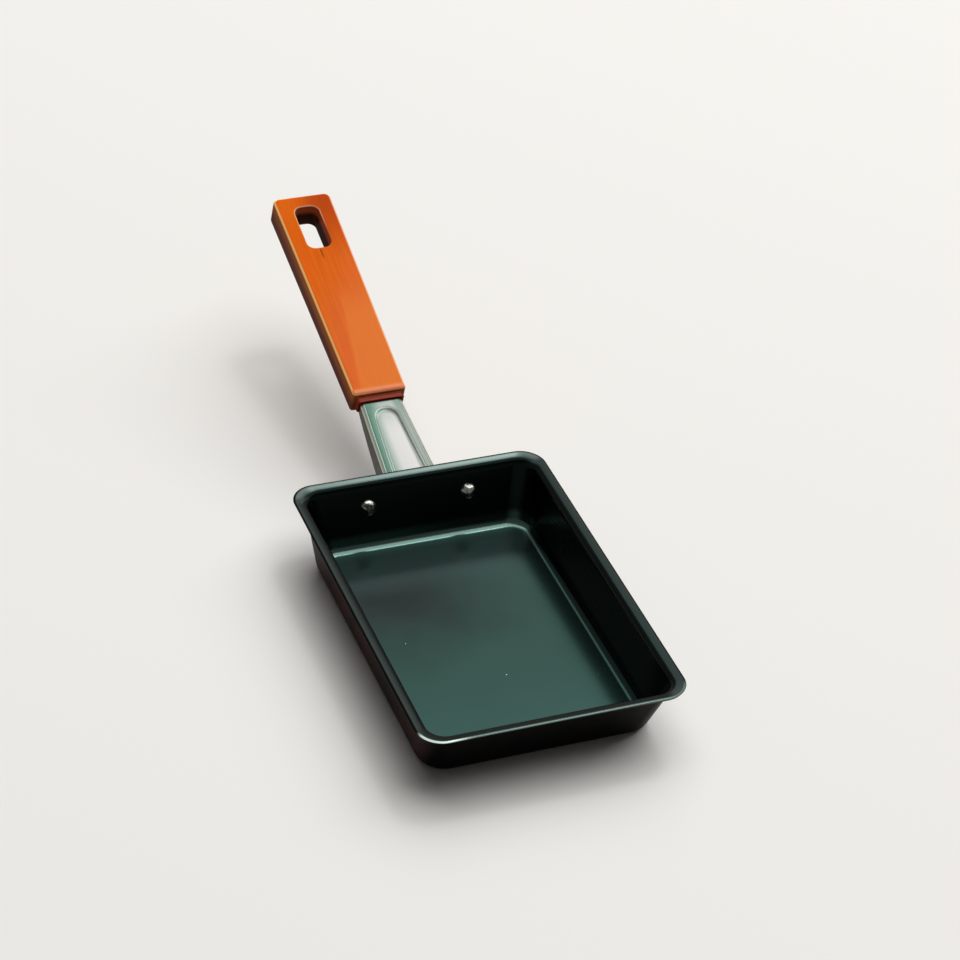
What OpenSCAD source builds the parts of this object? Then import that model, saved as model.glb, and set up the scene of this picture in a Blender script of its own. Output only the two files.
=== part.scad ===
// Tamagoyaki pan: a rectangular omelette pan of pressed steel sheet with a riveted bracket and a wooden grip.
// The origin is the centre of the flat base, on the table. +Y runs towards the handle and +Z is up.

/* [Pan] */
// Width over the rim
pan_w = 130; // [120:1:145]
// Length over the rim, along the handle's axis
pan_l = 193.5; // [170:0.5:210]
// Height of the rim above the table
pan_h = 33; // [31:0.5:36]
// Thickness of the pan's sheet
sheet_t = 1.6; // [1.2:0.1:2]
// Lean of the two long walls from upright, in degrees
side_lean = 6; // [3:0.5:12]
// Lean of the front and rear walls from upright, in degrees
end_lean = 20.5; // [16:0.5:22]
// Corner radius at the rim's outer edge
rim_corner_r = 12; // [11:0.5:16]
// Corner radius of the walls just below the rim
wall_corner_r = 9.5; // [9:0.5:13]
// Corner radius of the walls where they meet the base
base_corner_r = 12.5; // [10:0.5:16]
// Radius between the floor and the walls, at mid sheet
floor_r = 5; // [4:0.5:6]

/* [Rim] */
// Radius where the wall turns out into the rim, at mid sheet
rim_bend_r = 3; // [2.5:0.5:4]
// Width of the straight part of the flared rim
flare_w = 2.4; // [1.6:0.2:4]
// How steeply the rim rises outwards, in degrees
flare_rise = 13; // [5:1:18]
// Radius where the rim's edge rolls off, at mid sheet
edge_roll_r = 1.2; // [1:0.1:2]
// How far the edge rolls off, in degrees
edge_roll = 45; // [30:5:60]

/* [Rivets] */
// Distance between the two rivets
rivet_gap = 51.8; // [46:0.2:54]
// Height of the rivets above the table
rivet_z = 20; // [18:0.2:21]
// Diameter of the rivet's shank
rivet_d = 4.8; // [4:0.2:5]
// Diameter of the domed head inside the pan
rivet_head_d = 8.8; // [8:0.2:10]
// Height of the domed head
rivet_head_h = 3.1; // [2.4:0.1:3.4]
// Diameter of the closing head outside the pan
closing_head_d = 7.8; // [7:0.2:9]
// Height of the closing head
closing_head_h = 1.6; // [1.2:0.1:2]

/* [Bracket] */
// Thickness of the bracket's sheet
bracket_t = 1.8; // [1.5:0.1:2]
// Width of the channel at the pan
arm_w_pan = 28.5; // [26:0.5:30]
// Width of the channel at the grip
arm_w_grip = 21.5; // [20:0.5:23]
// Depth of the channel's sides at the pan
arm_d_pan = 15; // [13:0.5:16]
// Depth of the channel's sides at the grip
arm_d_grip = 4.8; // [4:0.2:6]
// How far the channel's top sags below a straight line, at its middle
arm_bow = 0.5; // [0:0.1:1]
// Depth of the sunk arch panel
panel_d = 1.1; // [0.6:0.1:1.4]
// Width of the arch panel at the pan
panel_w_pan = 17.5; // [15:0.5:18]
// Width of the arch panel at its round end
panel_w_grip = 11.5; // [10:0.5:13]
// Width over the two ears
ear_w = 68; // [66:1:72]
// Height of the ears along the wall
ear_h = 16; // [14:0.5:16]

/* [Grip] */
// Length of the wooden grip
grip_l = 136; // [120:0.5:145]
// Width of the grip at the bracket
grip_w_near = 28.2; // [27:0.2:30]
// Width of the grip at its far end
grip_w_far = 31.4; // [29:0.2:34]
// Thickness of the grip at the bracket
grip_t_near = 13; // [12.5:0.1:14.5]
// Thickness of the grip at its far end
grip_t_far = 14.5; // [13.5:0.1:16]
// Upward tilt of the grip, in degrees
grip_tilt = 15.1; // [12:0.1:18]
// Rounding of the grip's long edges
grip_edge_r = 1.7; // [1.3:0.1:2.4]
// Length of the shoulder in front of the grip, which the bracket enters
shoulder_l = 3.4; // [2:0.2:4]
// Width of the hanging hole
hole_w = 13; // [10:0.2:14]
// Length of the hanging hole
hole_l = 28.8; // [20:0.2:30]
// Rounding of the hanging hole's edges
hole_flare = 1; // [0.8:0.1:1.6]
// Diameter of the screw that holds the grip
screw_d = 3.8; // [3.4:0.1:4.4]

/* [Hidden] */
$fn = 48;

fit_gap = 0.05;            // room round a rivet or screw in its hole
slot_gap = 0.15;           // room round the tang in the grip
socket_gap = 0.4;          // room round the channel's end in the grip

// Where the grip begins, at the middle of its upper face, and how far below that face the bracket enters
grip_y = pan_l / 2 + 50.8;
grip_z = pan_h + 10.8;
grip_step = 3.2;

function reversed(list) = [for (i = [len(list) - 1 : -1 : 0]) list[i]];
function mix(a, b, t) = a + (b - a) * t;
function smooth(t) = let (c = max(0, min(1, t))) c * c * (3 - 2 * c);

// The triangles between rings that have n points each
function ring_sides(m, n) = [for (i = [0 : m - 2], j = [0 : n - 1])
    let (k = (j + 1) % n)
    each [[i * n + j, (i + 1) * n + k, i * n + k], [i * n + j, (i + 1) * n + j, (i + 1) * n + k]]];

// A closed solid through rings, with flat ends
module loft(rings) {
    n = len(rings[0]);
    m = len(rings);
    ends = [[for (j = [0 : n - 1]) j], [for (j = [n - 1 : -1 : 0]) (m - 1) * n + j]];
    polyhedron([for (ring = rings) each ring], concat(ring_sides(m, n), ends));
}

// The same for rings that go out along one face of a bent sheet and back along the other
module sheet_loft(rings) {
    n = len(rings[0]);
    m = len(rings);
    last = (m - 1) * n;
    ends = [for (j = [0 : n / 2 - 2])
        let (a = j, b = j + 1, c = n - 2 - j, d = n - 1 - j)
        each [[a, b, c], [a, c, d], [last + c, last + b, last + a], [last + d, last + c, last + a]]];
    polyhedron([for (ring = rings) each ring], concat(ring_sides(m, n), ends));
}

// The pan's section, from the rim's edge inwards and down to the floor. u is the distance inwards from
// the rim's outermost point, at mid sheet. The edge rolls off, the straight flare rises to it, and a bend
// joins the flare to the wall. The roll and the bend turn about centres below the sheet.
bend_steps = 6;
roll_steps = 4;
edge_u = (edge_roll_r + sheet_t / 2) * sin(edge_roll - flare_rise);
edge_z = pan_h - sheet_t / 2 - edge_roll_r;
bend_u = edge_u + flare_w * cos(flare_rise) - (rim_bend_r - edge_roll_r) * sin(flare_rise);
bend_z = edge_z - flare_w * sin(flare_rise) - (rim_bend_r - edge_roll_r) * cos(flare_rise);

function wall_top_u(lean) = bend_u + rim_bend_r * cos(lean);
function wall_top_z(lean) = bend_z + rim_bend_r * sin(lean);
function wall_foot_z(lean) = sheet_t / 2 + floor_r - floor_r * sin(lean);
function wall_foot_u(lean) = wall_top_u(lean) + (wall_top_z(lean) - wall_foot_z(lean)) * tan(lean);
function floor_u(lean) = wall_foot_u(lean) + floor_r * cos(lean);
function rim_corner(u, lean) = rim_corner_r - u * (rim_corner_r - wall_corner_r) / wall_top_u(lean);

// One point of the section: inset u, height z, the sheet's upward normal, and the corner radius there
function arc_point(centre_u, centre_z, r, a, lean) =
    let (u = centre_u + r * sin(a))
    [u, centre_z + r * cos(a), sin(a), cos(a), rim_corner(u, lean)];
function edge_points(lean) = [
    for (k = [0 : roll_steps])
        arc_point(edge_u, edge_z, edge_roll_r, flare_rise - edge_roll * (1 - k / roll_steps), lean)
];
function bend_points(lean) = [
    for (k = [0 : bend_steps])
        arc_point(bend_u, bend_z, rim_bend_r, mix(flare_rise, 90 - lean, k / bend_steps), lean)
];
function floor_points(lean) = [
    for (k = [0 : bend_steps])
        let (a = (90 - lean) * (1 - k / bend_steps), u = floor_u(lean) - floor_r * sin(a))
        [u, sheet_t / 2 + floor_r - floor_r * cos(a), sin(a), cos(a), base_corner_r - (u - wall_foot_u(lean))]
];
function section(lean) = concat(edge_points(lean), bend_points(lean), floor_points(lean));

// The same point moved to one face of the sheet: side is 1 for the upper face and -1 for the lower
function on_face(p, side) =
    let (h = side * sheet_t / 2)
    [p[0] + h * p[2], p[1] + h * p[3], p[4] - h * p[2]];

// A rounded rectangle whose height blends from the long sides' value to the ends' value round each corner
corner_steps = 9;
function pan_ring(side, end) =
    let (a = pan_w / 2 - side[0], b = pan_l / 2 - end[0], r = (side[2] + end[2]) / 2)
    [for (q = [0 : 3], k = [0 : corner_steps])
        let (t = 90 * q + 90 * k / corner_steps,
             cx = (q == 0 || q == 3) ? a - r : r - a,
             cy = q < 2 ? b - r : r - b)
        [cx + r * cos(t), cy + r * sin(t), mix(side[1], end[1], pow(sin(t), 2))]];

// The rear wall's outer face at the rivets: +Z leaves the pan and +Y points down the wall
rear_face_y = pan_l / 2 - wall_top_u(end_lean) + sheet_t / 2 * cos(end_lean)
            - (wall_top_z(end_lean) - sheet_t / 2 * sin(end_lean) - rivet_z) * tan(end_lean);
module on_rear_wall() {
    translate([0, rear_face_y, rivet_z]) rotate([-90 - end_lean, 0, 0]) children();
}
module rivet_places() {
    for (side = [-1, 1])
        translate([side * rivet_gap / 2, 0, 0]) children();
}

// The grip's own frame: +Y runs along it, from the middle of its upper face at the near end
module on_grip() {
    translate([0, grip_y, grip_z]) rotate([grip_tilt, 0, 0]) children();
}

module pan_body() {
    side = section(side_lean);
    end = section(end_lean);
    faces = [for (face = [-1, 1])
        [for (i = [0 : len(side) - 1]) pan_ring(on_face(side[i], face), on_face(end[i], face))]];
    color("#1d2b28")
    difference() {
        loft(concat(reversed(faces[0]), faces[1]));
        on_rear_wall() rivet_places()
            cylinder(h = 4 * sheet_t, r = rivet_d / 2 + fit_gap, center = true);
    }
}

// The bracket's channel rises from its foot on the rear wall to its end inside the grip
arm_socket = 3;            // how far the channel enters the grip
arm_foot_z = 26.5;
arm_foot_y = rear_face_y + (arm_foot_z - rivet_z) * tan(end_lean);
arm_end_y = grip_y + grip_step * sin(grip_tilt) + arm_socket * cos(grip_tilt);
arm_end_z = grip_z - grip_step * cos(grip_tilt) + arm_socket * sin(grip_tilt);
arm_l = arm_end_y - arm_foot_y;
arm_edge_r = 2.6;          // outer radius of the channel's two long bends
edge_steps = 4;
ear_bend_r = 1.4;          // radius where the channel's sides turn out into the ears

// The sunk panel is open towards the pan and ends in an arch. s runs along the arm, from its foot.
panel_slope = 2.2;         // how wide the panel's sloping edge is
panel_top_s = arm_l - arm_socket - shoulder_l - 4.6;
arch_s = panel_top_s - panel_w_grip / 2;
function panel_half(s) = mix(panel_w_pan, panel_w_grip, min(s, arch_s) / arch_s) / 2;
function inside_panel(s, x) =
    s < arch_s ? panel_half(s) - abs(x) : panel_half(s) - norm([x, s - arch_s]);
function panel_sink(s, x) = panel_d * smooth(inside_panel(s, x) / panel_slope + 0.5);

// Stations along the arm, close together round the arch, and points across the web that follow the panel
arch_step = 0.8;
arm_stations = concat(
    [for (k = [0 : 7]) mix(0, arch_s, k / 8)],
    [for (s = [arch_s : arch_step : panel_top_s + panel_slope]) s],
    [for (k = [1 : 4]) mix(panel_top_s + panel_slope, arm_l, k / 4)]
);
web_points = [for (k = [-12 : 12]) k / 12 * 1.2];

function arm_ring(s) =
    let (t = s / arm_l,
         y = arm_foot_y + s,
         top = mix(arm_foot_z, arm_end_z, t) - 4 * arm_bow * t * (1 - t),
         lean = mix(tan(end_lean), -tan(grip_tilt), t),
         w = mix(arm_w_pan, arm_w_grip, t) / 2,
         d = mix(arm_d_pan, arm_d_grip, pow(t, 1.4)),
         web = [for (p = web_points) let (x = p * panel_half(s)) [x, -panel_sink(s, x)]],
         bend = function (r) [for (k = [0 : edge_steps]) let (a = 90 * k / edge_steps)
             [w - arm_edge_r + r * cos(a), -arm_edge_r + r * sin(a)]],
         face = function (r, drop) let (right = concat([[w - arm_edge_r + r, -d]], bend(r)))
             concat([for (p = right) [-p[0], p[1]]],
                    [for (p = web) [p[0], p[1] - drop]],
                    reversed(right)))
    [for (p = concat(face(arm_edge_r, 0), reversed(face(arm_edge_r - bracket_t, bracket_t))))
        [p[0], y + lean * p[1], top + p[1]]];

// Each side of the channel turns outwards into an ear that lies on the wall
module ear_section() {
    x = arm_w_pan / 2 + ear_bend_r;
    r = ear_bend_r + bracket_t;
    translate([x, 0]) square([ear_w / 2 - x, bracket_t]);
    intersection() {
        translate([x, r]) difference() {
            circle(r);
            circle(ear_bend_r);
        }
        translate([x - r, 0]) square(r);
    }
}
ear_corner_r = 7;
module ears() {
    intersection() {
        rotate([90, 0, 0]) linear_extrude(ear_h, center = true) {
            ear_section();
            mirror([1, 0]) ear_section();
        }
        linear_extrude(ear_bend_r + bracket_t) {
            square([ear_w - 2 * ear_corner_r, ear_h], center = true);
            square([ear_w, ear_h - 2 * ear_corner_r], center = true);
            for (x = [-1, 1], y = [-1, 1])
                translate([x * (ear_w / 2 - ear_corner_r), y * (ear_h / 2 - ear_corner_r)])
                    circle(ear_corner_r);
        }
    }
}

// The tang carries the channel's web on into the grip
tang_w = 15;
tang_l = 46;
screw_v = 24;              // how far the screw is from the grip's near end
module tang(grow) {
    round_v = tang_l - tang_w / 2;
    translate([0, 0, -grip_step - bracket_t - grow]) {
        translate([-tang_w / 2 - grow, 1, 0]) cube([tang_w + 2 * grow, round_v - 1, bracket_t + 2 * grow]);
        translate([0, round_v, 0]) cylinder(h = bracket_t + 2 * grow, r = tang_w / 2 + grow);
    }
}

module handle_bracket() {
    color("#9fb8aa")
    difference() {
        union() {
            sheet_loft([for (s = arm_stations) arm_ring(s)]);
            on_rear_wall() ears();
            on_grip() tang(0);
        }
        on_rear_wall() rivet_places()
            cylinder(h = 4 * bracket_t, r = rivet_d / 2 + fit_gap, center = true);
        on_grip() translate([0, screw_v, -grip_step - bracket_t / 2])
            cylinder(h = 2 * bracket_t, r = screw_d / 2 + fit_gap, center = true);
    }
}

// A solid rivet: domed head inside the pan, shank through the wall and the ear, bevelled closing head outside
module rivet(side) {
    dome_r = (pow(rivet_head_d / 2, 2) + pow(rivet_head_h, 2)) / (2 * rivet_head_h);
    closing_bevel = 1.2;
    color("#c9cac4")
    on_rear_wall() translate([side * rivet_gap / 2, 0, 0]) {
        translate([0, 0, -sheet_t - rivet_head_h]) intersection() {
            translate([0, 0, dome_r]) sphere(dome_r);
            cylinder(h = rivet_head_h, r = rivet_head_d);
        }
        translate([0, 0, -sheet_t]) cylinder(h = sheet_t + bracket_t, r = rivet_d / 2);
        translate([0, 0, bracket_t]) rotate_extrude() polygon([
            [0, 0], [closing_head_d / 2, 0], [closing_head_d / 2, closing_head_h * 0.4],
            [closing_head_d / 2 - closing_bevel, closing_head_h], [0, closing_head_h]]);
    }
}

// A rounded rectangle across the grip at v along it: half width w, from height low to high
function grip_ring(v, w, low, high, r) =
    [for (q = [0 : 3], k = [0 : 4])
        let (t = 90 * q + 90 * k / 4,
             cx = (q == 0 || q == 3) ? w - r : r - w,
             cz = q < 2 ? high - r : low + r)
        [cx + r * cos(t), v, cz + r * sin(t)]];

near_round = 1.7;          // rounding of the grip's near end
far_round_x = 3.6;         // rounding of the far end, seen from above
far_round_z = 2.2;         // rounding of the far end, seen from the side
shoulder_round = 0.9;
shoulder_rim = 0.9;        // wood round the bracket at the shoulder
function grip_half_w(v) = mix(grip_w_near, grip_w_far, v / grip_l) / 2;
function grip_low(v) = -mix(grip_t_near, grip_t_far, v / grip_l);

// The shoulder's box round the channel
shoulder_w = arm_w_grip / 2 + 1.3;
shoulder_high = -grip_step + shoulder_rim;
shoulder_low = -grip_step - arm_d_grip - 1.6;

round_steps = 5;
module grip_blank() {
    near = [for (k = [0 : round_steps])
        let (a = 90 * k / round_steps, c = near_round * (1 - sin(a)), v = near_round * (1 - cos(a)))
        grip_ring(v, grip_half_w(v) - c, grip_low(v) + c, -c, grip_edge_r)];
    far = [for (k = [0 : round_steps])
        let (a = 90 * k / round_steps, c = 1 - cos(a), v = grip_l - far_round_x * (1 - sin(a)))
        grip_ring(v, grip_half_w(v) - far_round_x * c, grip_low(v) + far_round_z * c, -far_round_z * c,
                  grip_edge_r)];
    loft(reversed(concat(near, far)));
    shoulder = [for (k = [0 : round_steps])
        let (a = 90 * k / round_steps, c = shoulder_round * (1 - sin(a)))
        grip_ring(shoulder_round * (1 - cos(a)) - shoulder_l, shoulder_w - c, shoulder_low + c,
                  shoulder_high - c, 1.3)];
    loft(reversed(concat(shoulder, [grip_ring(near_round, shoulder_w, shoulder_low, shoulder_high, 1.3)])));
}

// The hanging hole runs straight through, with both mouths rounded over
hole_v = grip_l - 22.5;
hole_corner_r = 4.2;
function hole_ring(z, grow) =
    [for (q = [0 : 3], k = [0 : 5])
        let (t = 90 * q + 90 * k / 5, r = hole_corner_r + grow,
             cx = hole_w / 2 - hole_corner_r, cy = hole_l / 2 - hole_corner_r)
        [((q == 0 || q == 3) ? cx : -cx) + r * cos(t), hole_v + (q < 2 ? cy : -cy) + r * sin(t), z]];
module hanging_hole() {
    hole_low = grip_low(hole_v);
    mouth = [for (k = [0 : round_steps])
        let (a = 90 * k / round_steps) [hole_flare * (1 - sin(a)), hole_flare * (1 - cos(a))]];
    loft(concat(
        [hole_ring(hole_low - 1, hole_flare)],
        [for (m = mouth) hole_ring(hole_low + m[1], m[0])],
        [for (m = reversed(mouth)) hole_ring(-m[1], m[0])],
        [hole_ring(1, hole_flare)]));
}

screw_head_d = 7.4;
screw_head_h = 2.4;
screw_l = 11.6;
screw_point_l = 1.8;
module wood_grip() {
    socket_w = arm_w_grip + 2 * socket_gap;
    socket_low = -grip_step - arm_d_grip - 2 * socket_gap;
    color("#c8652a")
    on_grip() difference() {
        grip_blank();
        hanging_hole();
        // mortise for the channel's end
        translate([-socket_w / 2, -shoulder_l - 1, socket_low])
            cube([socket_w, shoulder_l + 1 + arm_socket + socket_gap, -grip_step + socket_gap - socket_low]);
        tang(slot_gap);
        // hole and countersink for the screw, from below
        translate([0, screw_v, grip_low(screw_v)]) {
            translate([0, 0, -1]) cylinder(h = screw_l + 1.2, r = screw_d / 2 + fit_gap);
            cylinder(h = screw_head_h, r1 = screw_head_d / 2 + fit_gap, r2 = screw_d / 2 + fit_gap);
        }
    }
}

module handle_screw() {
    slot = [4.4, 0.9, 1.3];
    color("#b9bab6")
    on_grip() translate([0, screw_v, grip_low(screw_v)]) difference() {
        union() {
            cylinder(h = screw_head_h, r1 = screw_head_d / 2, r2 = screw_d / 2);
            cylinder(h = screw_l - screw_point_l, r = screw_d / 2);
            translate([0, 0, screw_l - screw_point_l])
                cylinder(h = screw_point_l, r1 = screw_d / 2, r2 = 0.4);
        }
        // cross slot in the head
        for (turn = [0, 90])
            rotate([0, 0, turn]) translate([-slot[0] / 2, -slot[1] / 2, -0.1]) cube(slot);
    }
}

pan_body();
handle_bracket();
rivet(-1);  // rivet_left
rivet(1);  // rivet_right
wood_grip();
handle_screw();
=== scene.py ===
# %% [markdown]
# # A rectangular omelette pan with a wooden grip
#
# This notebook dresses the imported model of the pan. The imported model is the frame: it says where every
# piece is and how big it is, and nothing here moves it. The pan, the grip and the rivets are modelled again
# by hand in the place of their CAD nodes, because a hand-made mesh has clean rings of faces that shade
# well. The bracket and the screw are cleaned copies of theirs.

# %% Load the frame
import math

import bmesh
import bpy
from mathutils import Matrix, Quaternion, Vector


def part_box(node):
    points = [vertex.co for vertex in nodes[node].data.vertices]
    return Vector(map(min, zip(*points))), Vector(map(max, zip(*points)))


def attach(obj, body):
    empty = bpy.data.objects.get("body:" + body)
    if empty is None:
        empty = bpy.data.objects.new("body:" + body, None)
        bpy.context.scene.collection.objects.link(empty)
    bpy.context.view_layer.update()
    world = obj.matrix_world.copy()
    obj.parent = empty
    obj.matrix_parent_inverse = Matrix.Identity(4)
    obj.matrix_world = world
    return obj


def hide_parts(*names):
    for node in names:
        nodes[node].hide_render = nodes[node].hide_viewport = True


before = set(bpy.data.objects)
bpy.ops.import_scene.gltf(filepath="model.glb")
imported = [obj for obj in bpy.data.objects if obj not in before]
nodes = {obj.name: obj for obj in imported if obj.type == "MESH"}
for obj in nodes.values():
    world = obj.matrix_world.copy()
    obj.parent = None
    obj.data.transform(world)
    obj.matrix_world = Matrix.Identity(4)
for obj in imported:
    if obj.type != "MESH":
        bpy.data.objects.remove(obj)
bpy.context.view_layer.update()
MM = 0.001
print("nodes:", ", ".join(sorted(nodes)))

# %% [markdown]
# ## The camera
#
# The photograph was taken from the pan's front left, about 37 degrees above the table, with a long lens,
# and the camera was held a little crooked. A track quaternion aims the camera level at a point on the
# table, and a turn about its own axis adds the roll.

# %% Aim the camera
CAMERA_AT = Vector((-0.46171, -1.02215, 0.92988))
CAMERA_LOOKS_AT = Vector((0.04610, 0.11920, 0.0))
CAMERA_ROLL = math.radians(5.271)
CAMERA_LENS = 115.715        # on a sensor 36 mm wide

camera_data = bpy.data.cameras.new("photo_camera")
camera_data.lens = CAMERA_LENS
camera = bpy.data.objects.new("photo_camera", camera_data)
bpy.context.scene.collection.objects.link(camera)
camera.location = CAMERA_AT
camera.rotation_mode = "QUATERNION"
level = (CAMERA_LOOKS_AT - CAMERA_AT).to_track_quat("-Z", "Y")
camera.rotation_quaternion = level @ Quaternion((0, 0, 1), CAMERA_ROLL)
bpy.context.scene.camera = camera
print("camera stands", round((CAMERA_LOOKS_AT - CAMERA_AT).length, 3), "m from the point it looks at")

# %% [markdown]
# ## Helpers for modelling by hand
#
# A modelling operator acts on whatever is selected, so every step first says what that is. The small
# helpers below deselect everything, start a primitive, and select vertices, edges or faces by a rule about
# their place. `finish_mesh` ends every piece in the same way, with its faces turned outwards.

# %% Select by place
BEVEL_FROM = math.radians(50)            # an edge has to be this sharp to be worn round


def clear_selection():
    """Leaves edit mode and deselects every object."""
    if bpy.context.object and bpy.context.object.mode != "OBJECT":
        bpy.ops.object.mode_set(mode="OBJECT")
    bpy.ops.object.select_all(action="DESELECT")


def edit_mesh():
    """The mesh in edit mode, as bmesh sees it."""
    return bmesh.from_edit_mesh(bpy.context.object.data)


def pick(kind, rule):
    """In edit mode, selects only the vertices, edges or faces that the rule holds for."""
    bpy.ops.mesh.select_mode(type=kind)
    bpy.ops.mesh.select_all(action="DESELECT")
    mesh = edit_mesh()
    parts = {"VERT": mesh.verts, "EDGE": mesh.edges, "FACE": mesh.faces}[kind]
    chosen = [part for part in parts if rule(part)]
    for part in chosen:
        part.select_set(True)
    mesh.select_flush_mode()
    bmesh.update_edit_mesh(bpy.context.object.data)
    return len(chosen)


def start(name, operator, **settings):
    """Adds a primitive as a new piece and opens it in edit mode."""
    clear_selection()
    operator(**settings)
    piece = bpy.context.object
    piece.name = piece.data.name = name
    bpy.ops.object.mode_set(mode="EDIT")
    return piece


def finish_mesh(piece, bevel=None, smooth_angle=40):
    """Back to object mode, an optional small bevel on the sharp edges, and smooth shading."""
    bpy.ops.mesh.select_all(action="SELECT")
    bpy.ops.mesh.normals_make_consistent(inside=False)
    bpy.ops.object.mode_set(mode="OBJECT")
    if bevel:
        width, segments = bevel
        edge = piece.modifiers.new("edge", "BEVEL")
        edge.width = width
        edge.segments = segments
        edge.limit_method = "ANGLE"
        edge.angle_limit = BEVEL_FROM
        bpy.ops.object.modifier_apply(modifier="edge")
    bpy.ops.object.shade_smooth_by_angle(angle=math.radians(smooth_angle))
    weighted = piece.modifiers.new("shading", "WEIGHTED_NORMAL")
    weighted.keep_sharp = True
    bpy.ops.object.modifier_apply(modifier="shading")
    print(piece.name, "has", len(piece.data.polygons), "faces")


# %% [markdown]
# ## The pan's section
#
# The real pan is one steel blank, pressed to shape. Its section starts at the floor, turns up in a fillet,
# climbs the leaning wall, bends outwards into a flared rim, and rolls off at the cut edge. The sheet has
# the same thickness everywhere, so both faces come from one middle line, whose radii and leans are set
# here. The long walls stand nearly upright, and the end walls lean more.

# %% Sizes of the pressed pan
pan_low, pan_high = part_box("pan_body")
PAN_W, PAN_L, PAN_H = (size / MM for size in pan_high - pan_low)
SHEET = 1.6
SIDE_LEAN, END_LEAN = math.radians(6), math.radians(20.5)
FLOOR_R = 5                              # fillet between floor and wall, at mid sheet
BEND_R, ROLL_R = 3, 1.2                  # the rim's bend and its rolled edge, at mid sheet
FLARE, FLARE_RISE = 2.4, math.radians(13)
ROLL = math.radians(45)
RIM_CORNER, WALL_CORNER, BASE_CORNER = 12, 9.5, 12.5

roll_u = (ROLL_R + SHEET / 2) * math.sin(ROLL - FLARE_RISE)
roll_z = PAN_H - SHEET / 2 - ROLL_R
bend_u = roll_u + FLARE * math.cos(FLARE_RISE) - (BEND_R - ROLL_R) * math.sin(FLARE_RISE)
bend_z = roll_z - FLARE * math.sin(FLARE_RISE) - (BEND_R - ROLL_R) * math.cos(FLARE_RISE)
fillet_z = SHEET / 2 + FLOOR_R
print("pan", round(PAN_W, 1), "x", round(PAN_L, 1), "x", round(PAN_H, 1), "mm")


# %% [markdown]
# `section_at` gives, for a height and a face, how far the sheet is from the rim's outermost line and how
# big the corner radius is there. It is asked twice at each height, for the long walls and for the ends.
# On the rolled edge all four sides are the same, and `rim_at` goes by the sheet's own lean instead.

# %% How far in the sheet is at a height
def blend(a, b, t):
    """Goes from a to b as t goes from 0 to 1."""
    return a + (b - a) * t


def section_at(z, lean, face):
    """Inset from the rim and corner radius at height z, on the upper (+1) or lower (-1) face."""
    half = face * SHEET / 2
    wall_top_u = bend_u + BEND_R * math.cos(lean)
    wall_top = bend_z + (BEND_R + half) * math.sin(lean)
    wall_foot = fillet_z - (FLOOR_R - half) * math.sin(lean)
    run = bend_z + BEND_R * math.sin(lean) - fillet_z + FLOOR_R * math.sin(lean)
    foot_u = wall_top_u + run * math.tan(lean)
    fillet_u = foot_u + FLOOR_R * math.cos(lean)
    if z > wall_top:                                   # round the rim's bend
        reach = math.sqrt(max(0, (BEND_R + half) ** 2 - (z - bend_z) ** 2))
        out = reach / (BEND_R + half)
        middle_u = bend_u + BEND_R * out
        corner = RIM_CORNER - middle_u * (RIM_CORNER - WALL_CORNER) / wall_top_u
        return bend_u + reach, corner - half * out
    if z < wall_foot:                                  # round the floor's fillet
        reach = math.sqrt(max(0, (FLOOR_R - half) ** 2 - (fillet_z - z) ** 2))
        out = reach / (FLOOR_R - half)
        middle_u = fillet_u - FLOOR_R * out
        return fillet_u - reach, BASE_CORNER - (middle_u - foot_u) - half * out
    down = (wall_top - z) / (wall_top - wall_foot)     # on the straight wall
    inset = wall_top_u + half * math.cos(lean) + (wall_top - z) * math.tan(lean)
    return inset, blend(WALL_CORNER, BASE_CORNER, down) - half * math.cos(lean)


def rim_at(angle, face):
    """A ring on the rolled edge: the same on all four sides. The angle is the sheet's lean there."""
    radius = ROLL_R + face * SHEET / 2
    inset = roll_u + radius * math.sin(angle)
    middle_u = roll_u + ROLL_R * math.sin(angle)
    corner = RIM_CORNER - middle_u * (RIM_CORNER - WALL_CORNER) / (bend_u + BEND_R)
    corner -= face * SHEET / 2 * math.sin(angle)
    return roll_z + radius * math.cos(angle), inset, inset, corner


# %% [markdown]
# Each ring is written as its height, its inset on the long sides, its inset at the ends, and its corner
# radius. Round stretches get rings at listed angles, about evenly spread, and the straight wall needs only
# a few, because its corner radius changes steadily from top to foot.

# %% The rings from the floor to the cut edge
FILLET_ANGLES = [math.radians(a) for a in (0, 15, 30, 45, 58, 69.5)]
BEND_ANGLES = [math.radians(a) for a in (69.5, 56, 42, 28, 13)]
ROLL_ANGLES = [math.radians(a) for a in (13, 2, -10, -21, -32)]
WALL_RINGS = 4


def face_rings(face):
    """All rings of one face of the sheet, from the floor out to the cut edge."""
    half = face * SHEET / 2
    heights = [fillet_z - (FLOOR_R - half) * math.cos(angle) for angle in FILLET_ANGLES]
    foot = fillet_z - (FLOOR_R - half) * math.sin(SIDE_LEAN)
    top = bend_z + (BEND_R + half) * math.sin(SIDE_LEAN)
    heights += [blend(foot, top, i / WALL_RINGS) for i in range(WALL_RINGS + 1)]
    heights += [bend_z + (BEND_R + half) * math.cos(angle) for angle in BEND_ANGLES]
    rings = []
    for z in heights:
        side_u, side_r = section_at(z, SIDE_LEAN, face)
        end_u, end_r = section_at(z, END_LEAN, face)
        rings.append((z, side_u, end_u, (side_r + end_r) / 2))
    return rings + [rim_at(angle, face) for angle in ROLL_ANGLES]


upper_rings = face_rings(1)
lower_rings = face_rings(-1)
print(len(upper_rings), "rings on each face")

# %% [markdown]
# `grow_ring` does what a potter does with a wall of clay: it pulls a new ring out of the open edge. Then
# each corner of the ring is moved and resized by itself, so the corner radii can change on the way up.

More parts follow.
